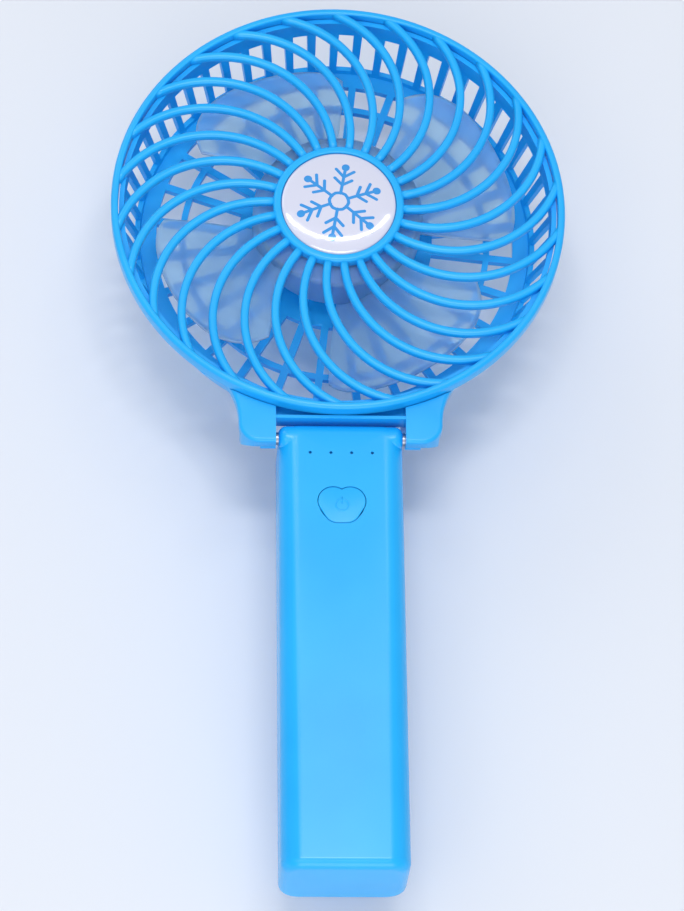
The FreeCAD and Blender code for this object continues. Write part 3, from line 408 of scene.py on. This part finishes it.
whirl(cover_bm, rounded([(HUB_R, 0, 0.85), (HUB_R, HUB_DEPTH, 0.2), (0, HUB_DEPTH, 0), (0, SEAT_DEPTH, 0),
                         (SEAT_R, SEAT_DEPTH, 0.15), (SEAT_R, 0, 0.3)]), HUB_STEPS)
tidy(cover_bm)
cover = piece("front_cover_moulding", cover_bm, blue_abs("cover_abs").material, "head")
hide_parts("front_cover")

# The badge: a domed disc in polished white ABS, pressed into the hub, with a plain
# six-armed snowflake printed in blue under a clear lacquer.
BADGE_R = 13.82
BADGE_EDGE = 0.4
BADGE_CROWN = 1.3
BADGE_STEPS = 24
BADGE_BREAK = 0.12
BADGE_BREAK_DEPTH = 0.2
PRINT_SOFTNESS = 0.06
PRINT_WHITE = (0.68, 0.69, 0.82, 1)
PRINT_BLUE = (0.035, 0.30, 0.74, 1)
FLAKE_TURN = math.radians(-10.5)
FLAKE_LINE = 0.85
FLAKE_DOT = 2.0
# one half arm, in mm: start and end of each line along and beside the arm, and its width
FLAKE_ARM = ((2.2, 0, 9.6, 0, FLAKE_LINE), (4.6, 0, 6.3, 2.1, FLAKE_LINE), (6.9, 0, 8.9, 2.2, FLAKE_LINE),
             (9.7, 0, 9.8, 0, FLAKE_DOT), (2.35, 0, 2.05, 1.18, FLAKE_LINE))
dome_r = (BADGE_R ** 2 + BADGE_CROWN ** 2) / (2 * BADGE_CROWN)
dome = []
for step in range(BADGE_STEPS + 1):
    radius = (BADGE_R - BADGE_BREAK) * step / BADGE_STEPS
    dome.append((radius, BADGE_EDGE - BADGE_CROWN + dome_r - math.sqrt(dome_r ** 2 - radius ** 2)))
badge_bm = bmesh.new()
whirl(badge_bm, dome + [(BADGE_R - 0.02, BADGE_EDGE + 0.06), (BADGE_R, BADGE_EDGE + BADGE_BREAK_DEPTH),
                        (BADGE_R, SEAT_DEPTH), (0, SEAT_DEPTH)], HUB_STEPS)
tidy(badge_bm)

white = Finish("badge_print", Roughness=0.12, Coat_Weight=0.6, Coat_Roughness=0.04)
spot_on_badge = white.node("VectorMath", {"operation": "SUBTRACT"}, i0=white.place(), i1=tuple(HEAD))
across = white.node("SeparateXYZ", out=0, Vector=spot_on_badge) / MM
upright = white.node("SeparateXYZ", out=2, Vector=spot_on_badge) / MM
distance = (across * across + upright * upright).maths("SQRT")
sixth = math.tau / 6
bearing = upright.maths("ARCTAN2", across) - (math.pi / 2 + FLAKE_TURN)
folded = ((bearing + sixth * 6.5).maths("MODULO", sixth) - sixth / 2).maths("ABSOLUTE")
along = distance * folded.maths("COSINE")
aside = distance * folded.maths("SINE")


def stroke(u0, v0, u1, v1, width):
    """Coverage of a round-ended line between two points of the folded arm."""
    du, dv = u1 - u0, v1 - v0
    share = ((((along - u0) * du) + ((aside - v0) * dv)) / (du * du + dv * dv)).clamped()
    off_u = along - u0 - share * du
    off_v = aside - v0 - share * dv
    gap = (off_u * off_u + off_v * off_v).maths("SQRT")
    return ((width / 2 - gap) / PRINT_SOFTNESS).clamped()


ink = stroke(*FLAKE_ARM[0])
for branch in FLAKE_ARM[1:]:
    ink = ink.maths("MAXIMUM", stroke(*branch))
white.feed("Base Color", white.node("MixRGB", Fac=ink, Color1=PRINT_WHITE, Color2=PRINT_BLUE))
white.feed("Roughness", 0.05 + white.grain(700.0, 2.0) * 0.04)
badge = piece("badge_dome", badge_bm, white.material, "head")
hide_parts("badge_disc")

# The fan wheel: a cup that hides the motor and four broad twisted blades, one moulding
# in clear polystyrene. The cup is polished and the blades are lightly frosted.
CUP_R = 20.6
CUP_FRONT = 3.8
CUP_BACK = 13.6
CUP_WALL = 1.3
BLADES = 4
BLADE_TIP_R = 44.5
BLADE_ROOT_IN = 0.7
BLADE_ROOT_R = CUP_R - BLADE_ROOT_IN
BLADE_HALF = 33.0
BLADE_ROOT_SHARE = 0.80
BLADE_WIDEN = 0.34
BLADE_NARROW = 0.14
BLADE_CUTS_ROUND = 44
BLADE_CUTS_OUT = 18
BLADE_PHASE = 26.0
LEAD_TRIM = 0.30
LEAD_POWER = 4
TRAIL_TRIM = 0.10
TRAIL_POWER = 8
BLADE_DEPTH_FRONT = 5.2
BLADE_DEPTH_BACK = 15.4
BLADE_DEPTH_SLACK = 0.6
BLADE_T = 1.0
BLADE_RAKE = 4.0
BLADE_FLATTEN = 0.16
BLADE_CURL = 0.18
SOCKET_R = 2.8
SOCKET_DEPTH = 8.0
BORE_R = 1.0
BORE_START = 0.5
wheel_bm = bmesh.new()
blade_grid = bmesh.ops.create_grid(wheel_bm, x_segments=BLADE_CUTS_ROUND, y_segments=BLADE_CUTS_OUT,
                                   size=1.0)["verts"]
for vert in blade_grid:
    u = vert.co.x
    t = (vert.co.y + 1) / 2
    half = BLADE_HALF * (BLADE_ROOT_SHARE + BLADE_WIDEN * t - BLADE_NARROW * t * t)
    trim = LEAD_TRIM * u ** LEAD_POWER if u > 0 else TRAIL_TRIM * u ** TRAIL_POWER
    reach = BLADE_ROOT_R + (BLADE_TIP_R - BLADE_ROOT_R) * t * (1 - trim)
    swing = ((BLADE_DEPTH_BACK - BLADE_DEPTH_FRONT) / 2 - BLADE_DEPTH_SLACK) * (1 - BLADE_FLATTEN * t)
    curl = u * (1 - BLADE_CURL * u * u) / (1 - BLADE_CURL)
    depth = (BLADE_DEPTH_FRONT + BLADE_DEPTH_BACK - BLADE_T) / 2 - swing * curl
    vert.co = head_point(reach, depth, BLADE_PHASE + u * half + BLADE_RAKE * t)
front_faces = list(wheel_bm.faces)
skin = bmesh.ops.extrude_face_region(wheel_bm, geom=front_faces)["geom"]
bmesh.ops.translate(wheel_bm, verts=verts_of(skin), vec=(0, BLADE_T * MM, 0))
broad_sides = set(front_faces) | set(item for item in skin if isinstance(item, bmesh.types.BMFace))
# The side walls take the second material, a paler colour that paints a highlight along the blade edges.
for face in wheel_bm.faces:
    if face not in broad_sides:
        face.material_index = 1
repeat_round(wheel_bm, everything(wheel_bm), BLADES)
whirl(wheel_bm, rounded([(0, CUP_FRONT, 0), (CUP_R, CUP_FRONT, 1.2), (CUP_R, CUP_BACK, 0.3),
                         (CUP_R - CUP_WALL, CUP_BACK, 0.3), (CUP_R - CUP_WALL, CUP_FRONT + CUP_WALL, 0.6),
                         (SOCKET_R, CUP_FRONT + CUP_WALL, 0.3), (SOCKET_R, SOCKET_DEPTH, 0),
                         (BORE_R, SOCKET_DEPTH, 0), (BORE_R, CUP_FRONT + BORE_START, 0),
                         (0, CUP_FRONT + BORE_START, 0)]), HUB_STEPS)
tidy(wheel_bm)
frost = Finish("frosted_styrene", Base_Color=(0.64, 0.86, 0.98, 1), IOR=1.18, Transmission_Weight=0.82,
               Specular_IOR_Level=0.8)
frost.feed("Roughness", 0.24 + frost.grain(60.0, 3.0) * 0.12)
frost.bump(frost.grain(1500.0, 2.0), 0.08, 0.00003)
# The blades' side walls are paler and less clear than the blades: a painted highlight that draws thin
# bright lines along their edges.
edge_painted_highlight = Finish("styrene_edge_painted_highlight", Base_Color=(0.80, 0.92, 1.0, 1), Alpha=0.8)
edge_painted_highlight.feed("Roughness", 0.12 + edge_painted_highlight.grain(500.0) * 0.08)
fan = piece("fan_wheel", wheel_bm, frost.material, "rotor")
fan.data.materials.append(edge_painted_highlight.material)
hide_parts("fan_rotor")

# The power button: a heart-shaped cap in the same blue ABS with softened edges and a
# raised power sign. It stands almost flush in its opening and presses on the switch.
BUTTON_W = 11.2
BUTTON_FRONT = 12.12
BUTTON_THICK = 2.2
BUTTON_EDGE = 0.28
BUTTON_EDGE_STEPS = 4
LOBE_R, LOBE_X, LOBE_Z = BUTTON_W * 0.321, BUTTON_W * 0.179, BUTTON_W * 0.085
LOBE_STEPS = 30
TIP_R, TIP_X, TIP_Z = BUTTON_W * 0.286, BUTTON_W * 0.098, -BUTTON_W * 0.1205
TIP_STEPS = 14
SIGN_R = 1.45
SIGN_LINE = 0.21
SIGN_RISE = 0.55
SIGN_OPEN = math.radians(56)
SIGN_SIDES = 10
SIGN_STEPS = 36
STEM_START = 0.2
STEM_LENGTH = 1.75
plunger_low, plunger_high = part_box("switch_plunger")
BUTTON = Vector((0, 0, (plunger_low.z + plunger_high.z) / 2))


def button_point(x, forward, z):
    """A point given in mm from the button's centre, forward of the handle's axis."""
    return BUTTON + Vector((x, -forward, z)) * MM


side = math.atan2(LOBE_Z - TIP_Z, LOBE_X - TIP_X) - math.pi / 2
side -= math.asin((LOBE_R - TIP_R) / math.hypot(LOBE_X - TIP_X, LOBE_Z - TIP_Z))
notch = math.acos(-LOBE_X / LOBE_R)
right_half = []
for step in range(LOBE_STEPS + 1):
    angle = notch + (side - notch) * step / LOBE_STEPS
    right_half.append((LOBE_X + LOBE_R * math.cos(angle), LOBE_Z + LOBE_R * math.sin(angle)))
for step in range(TIP_STEPS + 1):
    angle = side + (-math.pi / 2 - side) * step / TIP_STEPS
    right_half.append((TIP_X + TIP_R * math.cos(angle), TIP_Z + TIP_R * math.sin(angle)))
heart_line = right_half + [(-x, z) for x, z in reversed(right_half[1:])]
button_bm = bmesh.new()
loop_of(button_bm, [button_point(x, BUTTON_FRONT, z) for x, z in heart_line])
cap_face = bmesh.ops.contextual_create(button_bm, geom=list(button_bm.edges))["faces"]
front_edges = list(button_bm.edges)
pushed = bmesh.ops.extrude_face_region(button_bm, geom=cap_face, use_keep_orig=True)["geom"]
bmesh.ops.translate(button_bm, verts=verts_of(pushed), vec=(0, BUTTON_THICK * MM, 0))
bmesh.ops.bevel(button_bm, geom=front_edges, offset=BUTTON_EDGE * MM, offset_type="OFFSET",
                segments=BUTTON_EDGE_STEPS, profile=0.5, affect="EDGES", clamp_overlap=True, material=-1)
sign_section = [(SIGN_LINE * math.cos(angle), BUTTON_FRONT + SIGN_LINE * SIGN_RISE * math.sin(angle))
                for angle in (math.tau * i / SIGN_SIDES for i in range(SIGN_SIDES))]
sign = loop_of(button_bm, [button_point((SIGN_R + aside_line) * math.sin(SIGN_OPEN / 2), forward,
                                        (SIGN_R + aside_line) * math.cos(SIGN_OPEN / 2))
                           for aside_line, forward in sign_section])
bmesh.ops.spin(button_bm, geom=sign, cent=BUTTON, axis=(0, 1, 0), angle=math.tau - SIGN_OPEN,
               steps=SIGN_STEPS)
stem = loop_of(button_bm, [button_point(aside_line, forward, STEM_START)
                           for aside_line, forward in sign_section])
stem_face = bmesh.ops.contextual_create(button_bm, geom=stem)["faces"]
risen = bmesh.ops.extrude_face_region(button_bm, geom=stem_face)["geom"]
bmesh.ops.translate(button_bm, verts=verts_of(risen), vec=(0, 0, STEM_LENGTH * MM))
tidy(button_bm)
button = piece("heart_button", button_bm, blue_abs("button_abs").material, "power_button")
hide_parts("power_button")

# The handle's two shells, the sliding battery door, the head's rear housing and the cap
# over the motor: moulded in the same blue ABS and screwed or snapped together. They keep
# the exact shapes of their drawings.
SHADE_ANGLE = math.radians(32)
WELD_GAP = 0.001


def crisp(name, finish):
    """Gives a drawn part its material, and shading that stays smooth up to its edges."""
    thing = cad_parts[name]
    thing.data.materials.clear()
    thing.data.materials.append(finish.material)
    for polygon in thing.data.polygons:
        polygon.use_smooth = True
    weld = thing.modifiers.new("weld", "WELD")
    weld.merge_threshold = WELD_GAP * MM
    split = thing.modifiers.new("split", "EDGE_SPLIT")
    split.split_angle = SHADE_ANGLE


shell_abs = blue_abs("shell_abs", 0.25)
housing_abs = blue_abs("housing_abs", 0.30)
for name in ("handle_front_shell", "handle_rear_shell", "battery_door"):
    crisp(name, shell_abs)
for name in ("rear_housing", "motor_cover"):
    crisp(name, housing_abs)

# The metal parts: the motor's deep-drawn can, ground shaft, sintered bushings and tinned
# terminals, the turned hinge pins, the plated screws, the folded socket shell, and the
# spring and stamped plate that hold the cell.


def metal(name, colour, roughness, stretch, scale=400.0):
    """Plated or drawn metal: a fine grain drawn out along the way it was worked."""
    made = Finish(name, Metallic=1.0, Base_Color=colour)
    lines = made.grain(scale, 4.0, stretch)
    made.feed("Roughness", (roughness - 0.06) + lines * 0.14)
    dull = tuple(c * 0.82 for c in colour[:3]) + (1,)
    made.feed("Base Color", made.node("ValToRGB", {"stops": [(0.35, dull), (0.65, colour)]},
                                      Fac=made.grain(150.0)))
    made.bump(lines, 0.15, 0.00002)
    return made


drawn_steel = metal("drawn_steel", (0.62, 0.63, 0.65, 1), 0.30, (1, 8, 1))
plated_steel = metal("nickel_plate", (0.70, 0.69, 0.66, 1), 0.24, (1, 1, 1))
ground_steel = metal("ground_steel", (0.76, 0.77, 0.79, 1), 0.18, (8, 1, 1), 700.0)
# The hinge pins are made darker than the other steel: painted shade, standing in for the dark gap between
# the ears and the handle where they sit.
pin_steel_with_painted_shade = metal("pin_steel_painted_shade", (0.36, 0.38, 0.42, 1), 0.32, (8, 1, 1), 700.0)
bronze = metal("sintered_bronze", (0.52, 0.36, 0.19, 1), 0.45, (1, 1, 1), 1500.0)
tinned = metal("tinned_brass", (0.76, 0.73, 0.64, 1), 0.32, (1, 1, 1))
for name, finish in (("motor_can", drawn_steel), ("motor_cover_screws", plated_steel),
                     ("motor_mount_screws", plated_steel), ("handle_screws", plated_steel),
                     ("hinge_pin_left", pin_steel_with_painted_shade), ("hinge_pin_right", pin_steel_with_painted_shade),
                     ("motor_shaft", ground_steel), ("motor_bushings", bronze), ("motor_terminals", tinned),
                     ("usb_socket", plated_steel), ("battery_spring", plated_steel),
                     ("battery_contact_plate", tinned)):
    crisp(name, finish)

# The black and coated parts: sintered magnets, the motor's nylon end bell, the switch,
# the chip, the cell in its shrink wrap, and the two leads in soft white insulation.


def moulding(name, dark, light, roughness, scale=60.0):
    """Plain moulded or coated stuff with a slightly uneven colour."""
    made = Finish(name)
    made.feed("Base Color", made.node("ValToRGB", {"stops": [(0.35, dark), (0.65, light)]},
                                      Fac=made.grain(scale)))
    made.feed("Roughness", (roughness - 0.05) + made.grain(1200.0, 2.0) * 0.12)
    made.bump(made.grain(3000.0, 2.0), 0.12, 0.00002)
    return made


ferrite = moulding("ferrite", (0.035, 0.035, 0.038, 1), (0.075, 0.072, 0.070, 1), 0.6, 300.0)
black_abs = moulding("black_nylon", (0.012, 0.012, 0.014, 1), (0.022, 0.022, 0.025, 1), 0.45)
chip_epoxy = moulding("chip_epoxy", (0.016, 0.016, 0.017, 1), (0.030, 0.030, 0.031, 1), 0.55, 500.0)
wrap = moulding("battery_wrap", (0.020, 0.20, 0.17, 1), (0.030, 0.26, 0.22, 1), 0.22)
insulation = moulding("white_silicone", (0.70, 0.71, 0.73, 1), (0.80, 0.80, 0.82, 1), 0.5)
for name, finish in (("motor_magnets", ferrite), ("motor_end_bell", black_abs), ("charge_chip", chip_epoxy),
                     ("switch_body", black_abs), ("switch_plunger", black_abs), ("battery_cell", wrap),
                     ("motor_lead", insulation), ("handle_lead", insulation)):
    crisp(name, finish)

# The armature: steel laminations wound with enamelled copper wire, turn beside turn,
# pressed on the shaft.
copper = Finish("enamelled_copper", Metallic=0.85, Base_Color=(0.60, 0.25, 0.10, 1), Roughness=0.28)
turns = copper.node("TexWave", {"bands_direction": "Y"}, Vector=copper.place(), Scale=700.0, Distortion=0.6)
copper.feed("Base Color", copper.node("MixRGB", Fac=turns, Color1=(0.30, 0.10, 0.04, 1),
                                      Color2=(0.68, 0.30, 0.12, 1)))
copper.bump(turns, 0.6, 0.0001)
crisp("motor_armature", copper)

# The circuit board: glass laminate under green solder mask, with the copper tracks
# showing through as paler fields. It is held behind the front shell.
mask = Finish("solder_mask", Roughness=0.35)
cells = mask.node("TexBrick", {"offset": 0.37}, out=1,
                  Vector=mask.node("Mapping", Vector=mask.place(), Rotation=(math.pi / 2, 0, 0)),
                  Scale=260.0, Mortar_Size=0.045)
mask.feed("Base Color", mask.node("MixRGB", Fac=cells, Color1=(0.012, 0.12, 0.045, 1),
                                  Color2=(0.03, 0.22, 0.09, 1)))
mask.bump(cells, 0.3, 0.00004)
crisp("circuit_board", mask)

# The four indicator lamps: small clear epoxy blocks soldered to the board, each behind
# its pin hole in the front shell.
LAMPS = 4
epoxy = Finish("led_epoxy", Base_Color=(0.75, 0.82, 0.95, 1), Alpha=0.75)
epoxy.feed("Roughness", 0.08 + epoxy.grain(800.0) * 0.08)
for number in range(1, LAMPS + 1):
    crisp("indicator_led_%d" % number, epoxy)
